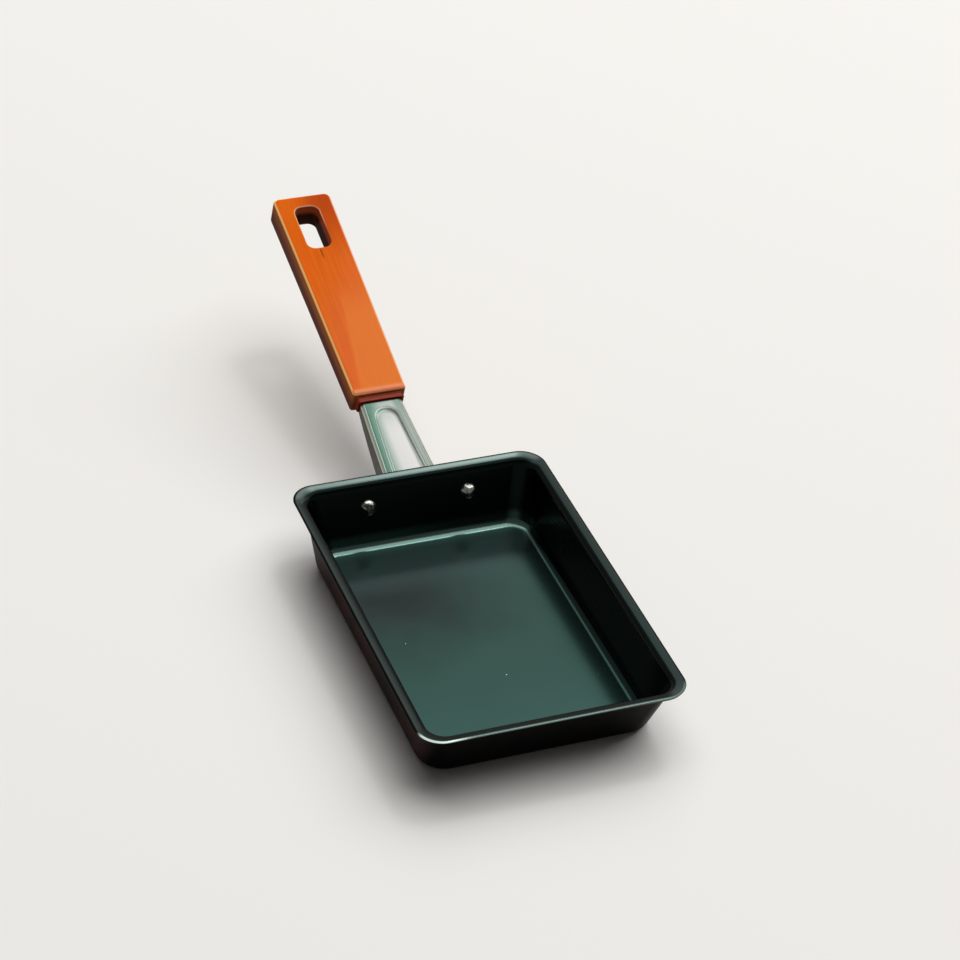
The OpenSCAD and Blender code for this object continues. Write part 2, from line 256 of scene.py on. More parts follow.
# %% Pull a ring out of the open edge
def corner_of(ring, side_x, side_y):
    """Where the centre of one corner of a ring is."""
    z, side_u, end_u, corner = ring
    return Vector((side_x * (PAN_W / 2 - side_u - corner), side_y * (PAN_L / 2 - end_u - corner), z)) * MM


def grow_ring(old, new):
    """Extrudes the selected open edge and shapes the new ring one corner at a time."""
    bpy.ops.mesh.extrude_edges_move()
    fresh = {v.index for v in edit_mesh().verts if v.select}
    size = new[3] / old[3]
    for side_x in (-1, 1):
        for side_y in (-1, 1):
            pick("VERT", lambda v: v.index in fresh and v.co.x * side_x > 0 and v.co.y * side_y > 0)
            centre = corner_of(new, side_x, side_y)
            bpy.ops.transform.translate(value=centre - corner_of(old, side_x, side_y))
            bpy.ops.transform.resize(value=(size, size, 1), center_override=centre)
    pick("EDGE", lambda e: e.verts[0].index in fresh and e.verts[1].index in fresh)


# %% [markdown]
# ## The pan
#
# A plane becomes the floor, and bevelling its four corners gives it the floor's corner radius. From there
# the open edge is pulled up the inside, over the rim, round the cut edge and down the outside, and the
# last ring is filled as the base. This way one unbroken skin goes round the whole sheet, as on the real
# pressed pan, and the rim's gloss runs through its corners without a seam.

# %% Model the pan
CORNER_STEPS = 12

floor_z, floor_side, floor_end, floor_corner = upper_rings[0]
pan = start("pan", bpy.ops.mesh.primitive_plane_add, size=1)
bpy.ops.transform.resize(value=((PAN_W - 2 * floor_side) * MM, (PAN_L - 2 * floor_end) * MM, 1))
bpy.ops.transform.translate(value=(0, 0, floor_z * MM))
bpy.ops.mesh.bevel(offset=floor_corner * MM, segments=CORNER_STEPS, profile=0.5, affect="VERTICES")
pick("EDGE", lambda e: e.is_boundary)
ring_now = upper_rings[0]
for ring in upper_rings[1:]:
    grow_ring(ring_now, ring)
    ring_now = ring
inside_faces = len(edit_mesh().faces)
for ring in reversed(lower_rings):
    grow_ring(ring_now, ring)
    ring_now = ring
bpy.ops.mesh.edge_face_add()
print("the inside has", inside_faces, "faces of", len(edit_mesh().faces))

# %% [markdown]
# The outside of the pan gets a material slot of its own, because it has another finish. The faces were
# made in order, so the inside ones are the first. The two sharp lines of the cut edge are rounded, and the
# rounding is what catches the thin light line along the rim.

# %% Outside faces and edge
EDGE_WEAR, WEAR_STEPS = 0.3 * MM, 3

bpy.ops.object.mode_set(mode="OBJECT")
for polygon in pan.data.polygons:
    polygon.material_index = 0 if polygon.index < inside_faces else 1
bpy.ops.object.mode_set(mode="EDIT")
finish_mesh(pan, bevel=(EDGE_WEAR, WEAR_STEPS))

# %% [markdown]
# ## The bracket and the screw
#
# The bracket is a pressed channel whose web, arch panel and ears are already right in the CAD node, and so
# is the screw under the grip, which hardly shows. Their triangles are loose, so a copy is merged, turned
# into quads where that works, and shaded smooth.

# %% Merge a copy of a CAD node
WELD = 0.005 * MM                        # vertices closer than this are one


def merged_copy(node, name):
    """A clean copy of a CAD node: merged, in quads and smooth."""
    clear_selection()
    piece = bpy.data.objects.new(name, nodes[node].data.copy())
    bpy.context.scene.collection.objects.link(piece)
    bpy.context.view_layer.objects.active = piece
    piece.select_set(True)
    bpy.ops.object.mode_set(mode="EDIT")
    bpy.ops.mesh.select_all(action="SELECT")
    bpy.ops.mesh.remove_doubles(threshold=WELD)
    bpy.ops.mesh.tris_convert_to_quads()
    finish_mesh(piece, smooth_angle=35)
    return piece


bracket = merged_copy("handle_bracket", "bracket")
screw = merged_copy("handle_screw", "grip_screw")

# %% [markdown]
# ## The grip
#
# The grip is planed from one bar: a little wider and thicker at its far end, with all its long edges
# rounded. It is modelled lying flat, with its upper face at height zero and its near end at the origin,
# and is tilted up only when it is done, so every step can be told in plain widths and lengths.

# %% Plane the bar
GRIP_LENGTH = 136
NEAR_W, NEAR_T = 28.2, 13
FAR_W, FAR_T = 31.4, 14.5
FAR_CORNER, FAR_CORNER_STEPS = 3.6, 8
LONG_EDGE, LONG_EDGE_STEPS = 1.7, 6
UPRIGHT = 5                              # an edge that rises more than this stands upright
SLACK = 0.1                              # how far off a vertex may be that is looked for by its place


def rise(edge):
    """How far an edge rises, in millimetres."""
    return abs(edge.verts[0].co.z - edge.verts[1].co.z) / MM


def lies_between(edge, low, high):
    """Whether all of an edge lies between two places along the grip, in millimetres."""
    return all((low - SLACK) * MM < vertex.co.y < (high + SLACK) * MM for vertex in edge.verts)


grip = start("grip", bpy.ops.mesh.primitive_cube_add, size=1)
bpy.ops.transform.resize(value=(NEAR_W * MM, GRIP_LENGTH * MM, NEAR_T * MM))
bpy.ops.transform.translate(value=(0, GRIP_LENGTH / 2 * MM, -NEAR_T / 2 * MM))
pick("VERT", lambda v: v.co.y > GRIP_LENGTH / 2 * MM)
bpy.ops.transform.resize(value=(FAR_W / NEAR_W, 1, FAR_T / NEAR_T), center_override=(0, GRIP_LENGTH * MM, 0))
pick("EDGE", lambda e: lies_between(e, GRIP_LENGTH, GRIP_LENGTH) and rise(e) > UPRIGHT)
bpy.ops.mesh.bevel(offset=FAR_CORNER * MM, segments=FAR_CORNER_STEPS, affect="EDGES")
pick("EDGE", lambda e: lies_between(e, 0, 0) or rise(e) < UPRIGHT)
bpy.ops.mesh.bevel(offset=LONG_EDGE * MM, segments=LONG_EDGE_STEPS, affect="EDGES")
print("bar of", len(edit_mesh().faces), "faces")

# %% [markdown]
# The shoulder at the near end is a smaller block that the bracket goes into. The end face is inset to the
# shoulder's outline and pulled out, and the shoulder's own end is inset and pushed in as the mortise.

# %% Shoulder and mortise
SHOULDER = (24.1, 7.3, -5.95)            # width, height, and the height of its middle
SHOULDER_LENGTH = 3.4
SHOULDER_EDGE, SHOULDER_EDGE_STEPS = 0.45, 3
MORTISE = (22.3, 6.0, -5.8)              # the same three
MORTISE_DEPTH = 6.8
FIRST_INSET = 0.05                       # a hair, before the new face gets its size


def end_face_to(outline, y):
    """Insets the end face that lies at y and gives it a new width, height and middle height."""
    pick("FACE", lambda f: f.normal.y < -0.99 and abs(f.calc_center_median().y - y * MM) < SLACK * MM)
    bpy.ops.mesh.inset(thickness=FIRST_INSET * MM)
    xs, zs = zip(*[(v.co.x, v.co.z) for v in edit_mesh().verts if v.select])
    width, height, middle = outline
    bpy.ops.transform.resize(value=(width * MM / (max(xs) - min(xs)), 1, height * MM / (max(zs) - min(zs))),
                             center_override=(0, 0, (max(zs) + min(zs)) / 2))
    bpy.ops.transform.translate(value=(0, 0, middle * MM - (max(zs) + min(zs)) / 2))


end_face_to(SHOULDER, 0)
bpy.ops.mesh.extrude_region_move(TRANSFORM_OT_translate={"value": (0, -SHOULDER_LENGTH * MM, 0)})
pick("EDGE", lambda e: any(v.co.y < -SHOULDER_LENGTH / 2 * MM for v in e.verts))
bpy.ops.mesh.bevel(offset=SHOULDER_EDGE * MM, segments=SHOULDER_EDGE_STEPS, affect="EDGES")
end_face_to(MORTISE, -SHOULDER_LENGTH)
bpy.ops.mesh.extrude_region_move(TRANSFORM_OT_translate={"value": (0, MORTISE_DEPTH * MM, 0)})
print("with shoulder and mortise:", len(edit_mesh().faces), "faces")

# %% [markdown]
# The hanging hole is routed straight through, as in the workshop: a rounded cutter is modelled, the
# Boolean modifier takes its shape out of the bar, and both mouths are rounded over afterwards.

# %% Rout the hanging hole
HOLE_W, HOLE_L, HOLE_AT = 13, 28.8, 113.5
HOLE_CORNER, HOLE_CORNER_STEPS = 4.2, 8
MOUTH, MOUTH_STEPS = 1.0, 4
CUTTER_HEIGHT = 40                       # well through the bar

bpy.ops.object.mode_set(mode="OBJECT")
cutter = start("hole_cutter", bpy.ops.mesh.primitive_cube_add, size=1)
bpy.ops.transform.resize(value=(HOLE_W * MM, HOLE_L * MM, CUTTER_HEIGHT * MM))
bpy.ops.transform.translate(value=(0, HOLE_AT * MM, 0))
pick("EDGE", lambda e: rise(e) > UPRIGHT)
bpy.ops.mesh.bevel(offset=HOLE_CORNER * MM, segments=HOLE_CORNER_STEPS, affect="EDGES")
clear_selection()
bpy.context.view_layer.objects.active = grip
grip.select_set(True)
routing = grip.modifiers.new("routing", "BOOLEAN")
routing.operation = "DIFFERENCE"
routing.object = cutter
bpy.ops.object.modifier_apply(modifier="routing")
bpy.data.objects.remove(cutter)
bpy.ops.object.mode_set(mode="EDIT")
mouths = pick("EDGE", lambda e: lies_between(e, HOLE_AT - HOLE_L / 2, HOLE_AT + HOLE_L / 2)
              and all(abs(v.co.x) < (HOLE_W / 2 + SLACK) * MM for v in e.verts) and rise(e) < UPRIGHT)
bpy.ops.mesh.bevel(offset=MOUTH * MM, segments=MOUTH_STEPS, affect="EDGES")
print("mouth edges rounded:", mouths)

# %% [markdown]
# The finished bar is tilted and carried to its place, and both are applied, so they are kept in the mesh
# and the object itself stays at the origin, unturned. Its box is then compared with the CAD node's.

# %% Tilt the grip into its place
GRIP_AT, GRIP_TILT = (0, 147.55, 43.8), math.radians(15.1)


def set_down(piece, place_mm, tilt):
    """Tilts the piece about X, moves it to its place, and keeps both in the mesh. Ends in edit mode."""
    bpy.ops.object.mode_set(mode="OBJECT")
    piece.rotation_euler.x = tilt
    piece.location = Vector(place_mm) * MM
    bpy.ops.object.transform_apply(location=True, rotation=True, scale=True)
    bpy.ops.object.mode_set(mode="EDIT")


def compare_with_cad(piece, node):
    """Prints how far the piece's box is from the box of its CAD node."""
    low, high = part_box(node)
    corners = [vertex.co for vertex in piece.data.vertices]
    off = max(max(abs(min(c[i] for c in corners) - low[i]), abs(max(c[i] for c in corners) - high[i]))
              for i in range(3))
    print(piece.name, "is within", round(off / MM, 2), "mm of the box of", node)


set_down(grip, GRIP_AT, GRIP_TILT)
finish_mesh(grip)
compare_with_cad(grip, "wood_grip")

# %% [markdown]
# ## The rivets
#
# Each rivet is turned: a circle is pulled along the rivet's axis and resized at every step. The dome's
# steps follow a ball that just holds the head's width and height, and behind the bracket's ear the shank
# is hammered into a flat closing head.

# %% Turn a rivet from its outline
HEAD_D, HEAD_H, SHANK_D = 8.8, 3.1, 4.8
DOME_STEPS, TURN_STEPS = 12, 48
BRACKET_T = 1.8
CLOSING_R, CLOSING_SIDE, CLOSING_TOP_R, CLOSING_H = 3.9, 0.64, 2.7, 1.6
BALL_R = ((HEAD_D / 2) ** 2 + HEAD_H ** 2) / (2 * HEAD_H)
DOME_EDGE = math.asin(HEAD_D / 2 / BALL_R)


def turned(name, outline):
    """Pulls a circle through (radius, height) points and closes both ends."""
    first_r, first_z = outline[0]
    piece = start(name, bpy.ops.mesh.primitive_circle_add, vertices=TURN_STEPS, radius=first_r * MM,
                  location=(0, 0, 0), fill_type="NGON")
    bpy.ops.transform.translate(value=(0, 0, first_z * MM))
    pick("EDGE", lambda e: True)
    for (old_r, old_z), (new_r, new_z) in zip(outline, outline[1:]):
        bpy.ops.mesh.extrude_edges_move()
        bpy.ops.transform.translate(value=(0, 0, (new_z - old_z) * MM))
        bpy.ops.transform.resize(value=(new_r / old_r, new_r / old_r, 1), center_override=(0, 0, new_z * MM))
    bpy.ops.mesh.edge_face_add()
    return piece


dome_angles = [DOME_EDGE * step / DOME_STEPS for step in range(1, DOME_STEPS + 1)]
dome = [(BALL_R * math.sin(a), BALL_R * (1 - math.cos(a)) - SHEET - HEAD_H) for a in dome_angles]
shank = [(SHANK_D / 2, -SHEET), (SHANK_D / 2, BRACKET_T)]
closing_head = [(CLOSING_R, BRACKET_T), (CLOSING_R, BRACKET_T + CLOSING_SIDE),
                (CLOSING_TOP_R, BRACKET_T + CLOSING_H)]
print("a rivet's outline has", len(dome + shank + closing_head), "points")

# %% [markdown]
# The outline's height zero is the outside of the rear wall, so a rivet is set down at a point of that wall
# and tilted until its axis stands square to it. The dome then looks into the pan.

# %% Set the rivets into the rear wall
RIVET_X, RIVET_Y, RIVET_Z = 25.9, 88.15, 20
REAR_WALL_TILT = -math.radians(90) - END_LEAN

rivets = []
for side, node in ((-1, "rivet_left"), (1, "rivet_right")):
    rivet = turned(node + "_dressed", dome + shank + closing_head)
    set_down(rivet, (side * RIVET_X, RIVET_Y, RIVET_Z), REAR_WALL_TILT)
    finish_mesh(rivet)
    compare_with_cad(rivet, node)
    rivets.append(rivet)

# %% [markdown]
# ## Helpers for materials
#
# Colours are written as sRGB hex, as a paint chart would give them, and turned to linear by one function.
# Another one adds a node and links its inputs, and every finish is made of such nodes. The finishes read
# Object coordinates, whose unit is the metre.

# %% Nodes and colours
def linear(hex_colour):
    """An sRGB hex colour as linear RGBA."""
    channels = [int(hex_colour[i:i + 2], 16) / 255 for i in (1, 3, 5)]
    return [c / 12.92 if c <= 0.04045 else ((c + 0.055) / 1.055) ** 2.4 for c in channels] + [1]


def add(tree, kind, inputs=None, **settings):
    """Adds a node. Settings are its own properties; an input is a value, or another node's output."""
    node = tree.nodes.new(kind)
    for name, value in settings.items():
        setattr(node, name, value)
    for name, value in (inputs or {}).items():
        if isinstance(value, bpy.types.NodeSocket):
            tree.links.new(value, node.inputs[name])
        else:
            node.inputs[name].default_value = value
    return node


def new_material(name):
    """An empty node material, and the object's own coordinates."""
    material = bpy.data.materials.new(name)
    material.use_nodes = True
    tree = material.node_tree
    tree.nodes.clear()
    return material, tree, add(tree, "ShaderNodeTexCoord").outputs["Object"]


def close_material(material, shader):
    """Links the shader to the output."""
    output = add(material.node_tree, "ShaderNodeOutputMaterial")
    material.node_tree.links.new(shader.outputs[0], output.inputs["Surface"])
    print("finish:", material.name)
    return material


# %% [markdown]
# `per_mm` turns a real spacing into the scale that a texture needs, and `in_mm` gives coordinates in
# millimetres. A mask is a soft step from one place to another, and masks are multiplied where all of them
# have to hold. `facing` tells where a surface looks, which is how bends and edges are found.

# %% Places and masks
def per_mm(spacing):
    """Texture scale at which one feature takes this many millimetres."""
    return 1 / (spacing * MM)


def in_mm(tree, place):
    """X, Y and Z of a place, in millimetres."""
    longer = add(tree, "ShaderNodeVectorMath", {0: place, "Scale": 1 / MM}, operation="SCALE").outputs[0]
    split = add(tree, "ShaderNodeSeparateXYZ", {"Vector": longer})
    return [split.outputs[axis] for axis in "XYZ"]


def calc(tree, operation, *values):
    """Arithmetic on sockets and numbers."""
    return add(tree, "ShaderNodeMath", dict(enumerate(values)), operation=operation).outputs[0]


def mask(tree, value, low, high):
    """0 at low and 1 at high, with a soft step between them. Low may be the larger number."""
    return add(tree, "ShaderNodeMapRange", {"Value": value, "From Min": low, "From Max": high},
               interpolation_type="SMOOTHSTEP").outputs["Result"]


def near(tree, value, middle, reach, edge):
    """1 within the reach of the middle, and 0 beyond it, with an edge this wide."""
    off = calc(tree, "ABSOLUTE", calc(tree, "SUBTRACT", value, middle))
    return mask(tree, off, reach, reach - edge)


def all_of(tree, *masks):
    """The product of masks. A number among them thins the others."""
    product = masks[0]
    for part in masks[1:]:
        product = calc(tree, "MULTIPLY", product, part)
    return product


def facing(tree, direction):
    """How much the surface faces a direction, from -1 to 1."""
    normal = add(tree, "ShaderNodeTexCoord").outputs["Normal"]
    dot = add(tree, "ShaderNodeVectorMath", {0: normal, 1: direction}, operation="DOT_PRODUCT")
    return dot.outputs["Value"]


# %% [markdown]
# A tone is laid over a colour wherever its masks hold. Noise makes clouds, spots and grain, and as a bump
# it makes the slight ripple of a sprayed, fired or hammered surface.

# %% Tones and textures
def mixed(tree, factor, first, second):
    """A colour between two, each given as a hex colour or as a socket."""
    node = add(tree, "ShaderNodeMix", {"Factor": factor}, data_type="RGBA")
    for name, colour in (("A", first), ("B", second)):
        if isinstance(colour, str):
            node.inputs[name].default_value = linear(colour)
        else:
            tree.links.new(colour, node.inputs[name])
    return node.outputs["Result"]


def laid(tree, colour, tone, *where):
    """The colour with a tone laid over it where all the masks hold."""
    return mixed(tree, all_of(tree, *where), colour, tone)


def noise(tree, place, spacing, detail=3.0):
    """Cloudy noise whose clouds are this many millimetres wide, or this many along X, Y and Z."""
    scale = 1.0
    if isinstance(spacing, tuple):
        scales = [per_mm(one) for one in spacing]
        place = add(tree, "ShaderNodeMapping", {"Vector": place, "Scale": scales}).outputs[0]
    else:
        scale = per_mm(spacing)
    return add(tree, "ShaderNodeTexNoise", {"Vector": place, "Scale": scale, "Detail": detail}).outputs["Fac"]


def ripple(tree, place, spacing, height_mm, strength):
    """The normal of a surface with a fine ripple in it."""
    return add(tree, "ShaderNodeBump", {"Height": noise(tree, place, spacing, 2.0), "Strength": strength,
                                        "Distance": height_mm * MM}).outputs["Normal"]


# %% [markdown]
# ## Baked coating of the pan's inside
#
# The inside has a dark green non-stick coating with fine metal flakes, baked on. The flakes make it
# behave like a dark metal: the floor mirrors the soft lamp, and the walls, which mostly see each other, are
# nearly black. A wide darker patch of the floor towards the rear left is a painted dark reflection. The
# floor's front and rear ends are painted a little paler as a painted sheen, and a painted highlight runs
# in the crease where it turns up, brightest at the rear. Every tone is told by its place on the pan, in
# millimetres.

# %% Tones of the pan's floor, with its painted reflection, sheen and highlights
FLAKE, PALER_FLAKE, CLOUD = "#192c28", "#1c312c", 45
# Painted dark reflection: a darker patch on the floor towards the rear left.
DARK_REFLECTION_TONE, DARK_REFLECTION_AT, DARK_REFLECTION_SQUEEZE = "#0d1312", (-24, 40), 0.7      # X is squeezed, so the patch is wider
DARK_REFLECTION_REACH, DARK_REFLECTION_RAGGED = (84, 16), 40                        # the clouds take up to this off the reach
# Painted sheen: the floor's front and rear are painted paler, and a painted highlight lies at its rear end.
FRONT_SHEEN_TONE, FRONT_SHEEN = "#233a36", (-10, -70)
REAR_SHEEN_TONE, REAR_SHEEN = "#273433", (38, 70)
REAR_END_HIGHLIGHT_TONE, REAR_END_HIGHLIGHT = "#46605a", (58, 71)
# Painted highlight in the crease between floor and walls, brighter along the rear.
CREASE_HIGHLIGHT_TONE, CREASE_HIGHLIGHT_START, CREASE_HIGHLIGHT_STOP = "#2c3a38", (1.62, 1.9), (4.2, 2.2)
REAR_CREASE_HIGHLIGHT_TONE, REAR_CREASE_HIGHLIGHT = "#4d625c", (60, 70)


def floor_tones_and_painted_sheen(tree, place):
    """The coating's colour on the floor, with a painted dark reflection, a painted sheen and a painted
    highlight in the crease.
    """
    x, y, z = in_mm(tree, place)
    cloud = noise(tree, place, CLOUD)
    colour = mixed(tree, cloud, FLAKE, PALER_FLAKE)
    across = calc(tree, "SUBTRACT", calc(tree, "MULTIPLY", x, DARK_REFLECTION_SQUEEZE), DARK_REFLECTION_AT[0])
    along = calc(tree, "SUBTRACT", y, DARK_REFLECTION_AT[1])
    away = calc(tree, "SQRT", calc(tree, "ADD", calc(tree, "MULTIPLY", across, across),
                                   calc(tree, "MULTIPLY", along, along)))
    ragged = calc(tree, "MULTIPLY_ADD", cloud, DARK_REFLECTION_RAGGED, away)
    colour = laid(tree, colour, DARK_REFLECTION_TONE, mask(tree, ragged, *DARK_REFLECTION_REACH))
    colour = laid(tree, colour, FRONT_SHEEN_TONE, mask(tree, y, *FRONT_SHEEN), 0.5)
    colour = laid(tree, colour, REAR_SHEEN_TONE, mask(tree, y, *REAR_SHEEN), 0.9)
    colour = laid(tree, colour, REAR_END_HIGHLIGHT_TONE, mask(tree, y, *REAR_END_HIGHLIGHT), 0.8)
    # The crease mask carries the painted highlight.
    crease_highlight = all_of(tree, mask(tree, z, *CREASE_HIGHLIGHT_START), mask(tree, z, *CREASE_HIGHLIGHT_STOP))
    colour = laid(tree, colour, CREASE_HIGHLIGHT_TONE, crease_highlight, 0.5)
    return laid(tree, colour, REAR_CREASE_HIGHLIGHT_TONE, crease_highlight, mask(tree, y, *REAR_CREASE_HIGHLIGHT))


# %% [markdown]
# The walls are painted a shade darker and greyer than the floor as painted shade, and the right one is
# painted the palest as a painted reflection. The flared rim is painted dark as painted shade, apart from a
# painted highlight: a thin lighter band along the top of its rear side. The rolled edge has the darkest
# tone, a painted shade, and at the front it carries a painted highlight instead, paler, most of all at the
# left corner. It is found by how far the surface faces away from the middle of the pan.

# %% Painted shade and highlights of the walls and the rim
# Painted shade on the walls, and a painted reflection on the right wall, which is paler.
WALL_SHADE_TONE, RIGHT_WALL_SHEEN_TONE, WALL_SHADE_FROM = "#18201f", "#636862", (6, 10)
RIGHT_WALL_SHEEN, RIGHT_WALL_SHEEN_REAR, RIGHT_WALL_SHEEN_FRONT = (50, 53), (74, 40), (-78, -60)
# Painted shade: the flared rim is painted darker than the floor.
RIM_SHADE_TONE, RIM_SHADE_FROM = "#1b2422", (29.6, 31.2)
# Painted highlight: a thin lighter band along the top of the rear rim, over a painted darker foot.
REAR_RIM_HIGHLIGHT, REAR_RIM_SHADE_TONE, REAR_RIM_HIGHLIGHT_TONE = (86, 90), "#0b1211", "#3c4643"
REAR_RIM_HIGHLIGHT_RISE = (PAN_H - 0.9, PAN_H - 0.15)
# Painted shade: the rolled edge is painted darkest.
ROLLED_SHADE_TONE, ROLLED_SHADE = "#060807", (-0.1, 0.06)                   # by how much the surface faces outwards
# Painted highlight: the front of the rolled edge is painted paler, most of all at the left corner.
FRONT_EDGE_HIGHLIGHT, FRONT_EDGE_HIGHLIGHT_TONE = (-86, -90), "#38443f"
LEFT_CORNER_HIGHLIGHT, LEFT_CORNER_HIGHLIGHT_TONE = (-40, -54), "#7f8c86"


def wall_and_rim_painted_light(tree, place, colour):
    """The floor's colour, with the painted shade and highlights of the walls, the flared rim and its rolled
    edge laid over it.
    """
    x, y, z = in_mm(tree, place)
    # right: where the right wall gets its painted reflection.
    right = all_of(tree, mask(tree, x, *RIGHT_WALL_SHEEN), mask(tree, y, *RIGHT_WALL_SHEEN_REAR),
                   mask(tree, y, *RIGHT_WALL_SHEEN_FRONT))
    colour = laid(tree, colour, mixed(tree, right, WALL_SHADE_TONE, RIGHT_WALL_SHEEN_TONE), mask(tree, z, *WALL_SHADE_FROM))
    # rim: where the rim's painted shade and the rolled edge's painted tones go.
    rim = mask(tree, z, *RIM_SHADE_FROM)
    rear_rim_light = mixed(tree, mask(tree, z, *REAR_RIM_HIGHLIGHT_RISE), REAR_RIM_SHADE_TONE, REAR_RIM_HIGHLIGHT_TONE)
    colour = laid(tree, colour, mixed(tree, mask(tree, y, *REAR_RIM_HIGHLIGHT), RIM_SHADE_TONE, rear_rim_light), rim)
    outwards = add(tree, "ShaderNodeVectorMath", {0: place, 1: (per_mm(PAN_W / 2), per_mm(PAN_L / 2), 0)},
                   operation="MULTIPLY").outputs[0]
    # front_edge_light and edge carry the rolled edge's painted shade and its painted highlight at the front.
    front_edge_light = mixed(tree, mask(tree, x, *LEFT_CORNER_HIGHLIGHT), FRONT_EDGE_HIGHLIGHT_TONE, LEFT_CORNER_HIGHLIGHT_TONE)
    edge = mixed(tree, mask(tree, y, *FRONT_EDGE_HIGHLIGHT), ROLLED_SHADE_TONE, front_edge_light)
    return laid(tree, colour, edge, rim, mask(tree, facing(tree, outwards), *ROLLED_SHADE))


# %% [markdown]
# A fine orange peel breaks up the reflection, and a few coarse flakes stand out as tiny light specks. The
# common flakes are far too fine to show, so only the coarse ones are drawn: they are the middles of the
# cells of a Voronoi pattern, kept only in some areas.

# %% Flake coating
COARSE_FLAKE, FLAKE_SPACING, FLAKE_EDGE = "#8fa8a0", 9, (0.035, 0.02)
FLAKE_AREA, FLAKE_AREAS = 30, (0.55, 0.6)
PEEL = (0.9, 0.02, 0.12)                 # spacing and height in millimetres, and strength


def flake_coating():
    """Dark green metal flakes in a baked binder."""
    material, tree, place = new_material("baked_flake_coating")
    colour = wall_and_rim_painted_light(tree, place, floor_tones_and_painted_sheen(tree, place))
    cells = add(tree, "ShaderNodeTexVoronoi", {"Vector": place, "Scale": per_mm(FLAKE_SPACING)})
    colour = laid(tree, colour, COARSE_FLAKE, mask(tree, cells.outputs["Distance"], *FLAKE_EDGE),
                  mask(tree, noise(tree, place, FLAKE_AREA, 0.0), *FLAKE_AREAS))
    return close_material(material, add(tree, "ShaderNodeBsdfPrincipled", {
        "Base Color": colour, "Metallic": 1.0, "Roughness": 0.21,
        "Normal": ripple(tree, place, *PEEL)}))


coating = flake_coating()

# %% [markdown]
# ## Enamel of the pan's outside
#
# The outside is a black stove enamel, browned in clouds on its left side. It is satin and slightly wavy
# from firing, and years of washing have taken most of its mirror.

# %% Stove enamel
ENAMEL_BLACK, BROWN_DARK, BROWN_RED = "#050303", "#16100b", "#301513"
BROWN_SIDE, BROWN_CLOUD, BROWN_CLOUD_EDGE = (-54, -58), 20, (0.4, 0.6)
FIRING_WAVE = (1.4, 0.03, 0.15)


def stove_enamel():
    """Black enamel, browned on the left."""
    material, tree, place = new_material("black_stove_enamel")
    x = in_mm(tree, place)[0]
    cloud = mask(tree, noise(tree, place, BROWN_CLOUD, 4.0), *BROWN_CLOUD_EDGE)
    browned = mixed(tree, cloud, BROWN_DARK, BROWN_RED)
    return close_material(material, add(tree, "ShaderNodeBsdfPrincipled", {
        "Base Color": mixed(tree, mask(tree, x, *BROWN_SIDE), ENAMEL_BLACK, browned),
        "Roughness": 0.38, "Specular IOR Level": 0.04,
        "Normal": ripple(tree, place, *FIRING_WAVE)}))


enamel = stove_enamel()

# %% [markdown]
# ## Metallic enamel of the bracket
#
# The bracket has a grey green enamel with metal flakes, glossy enough to mirror the lamp. Across the web
# the enamel's own grey green carries a painted reflection: green along its left, greyer on the right, and a
# pale neutral panel between. The slopes round the panel carry painted light, the two long bends carry a
# painted highlight, and the channel's sides are painted nearly black as painted shade. A colour ramp runs
# across the bracket's own width, which narrows towards the grip.

# %% Bracket finish
# Painted reflection: the tones across the web, whose paler middle stands for the mirrored lamp.
BRACKET_TONES_AND_REFLECTION = ((0.0, "#32463d"), (0.2, "#3b4e45"), (0.42, "#70706e"), (0.7, "#757472"), (0.8, "#535853"),
                 (1.0, "#535954"))
PAN_END_HALF, NARROWS_BY, NARROWS = 13.4, 2.6, (92, 150)
GRIP_END_TONE, GRIP_END = "#35493f", (125, 150)
# Painted light on the slopes round the panel.
GROOVE_LIGHT_LEFT, GROOVE_LIGHT_RIGHT, GROOVE_LIGHT_SIDES, GROOVE_LIGHT = "#8fa297", "#8b938e", (0.4, 0.6), (0.985, 0.95)
# Painted highlight on the two long bends, and painted shade on the channel's sides.
BEND_HIGHLIGHT_TONE, BEND_HIGHLIGHT, SIDE_SHADE_TONE, SIDE_SHADE = "#e2e8d2", (0.45, 0.7), "#2c2423", (0.85, 0.97)
SPRAYED = (1.1, 0.02, 0.1)
GRIP_UP = (0, -math.sin(GRIP_TILT), math.cos(GRIP_TILT))        # square to the tilted grip and bracket


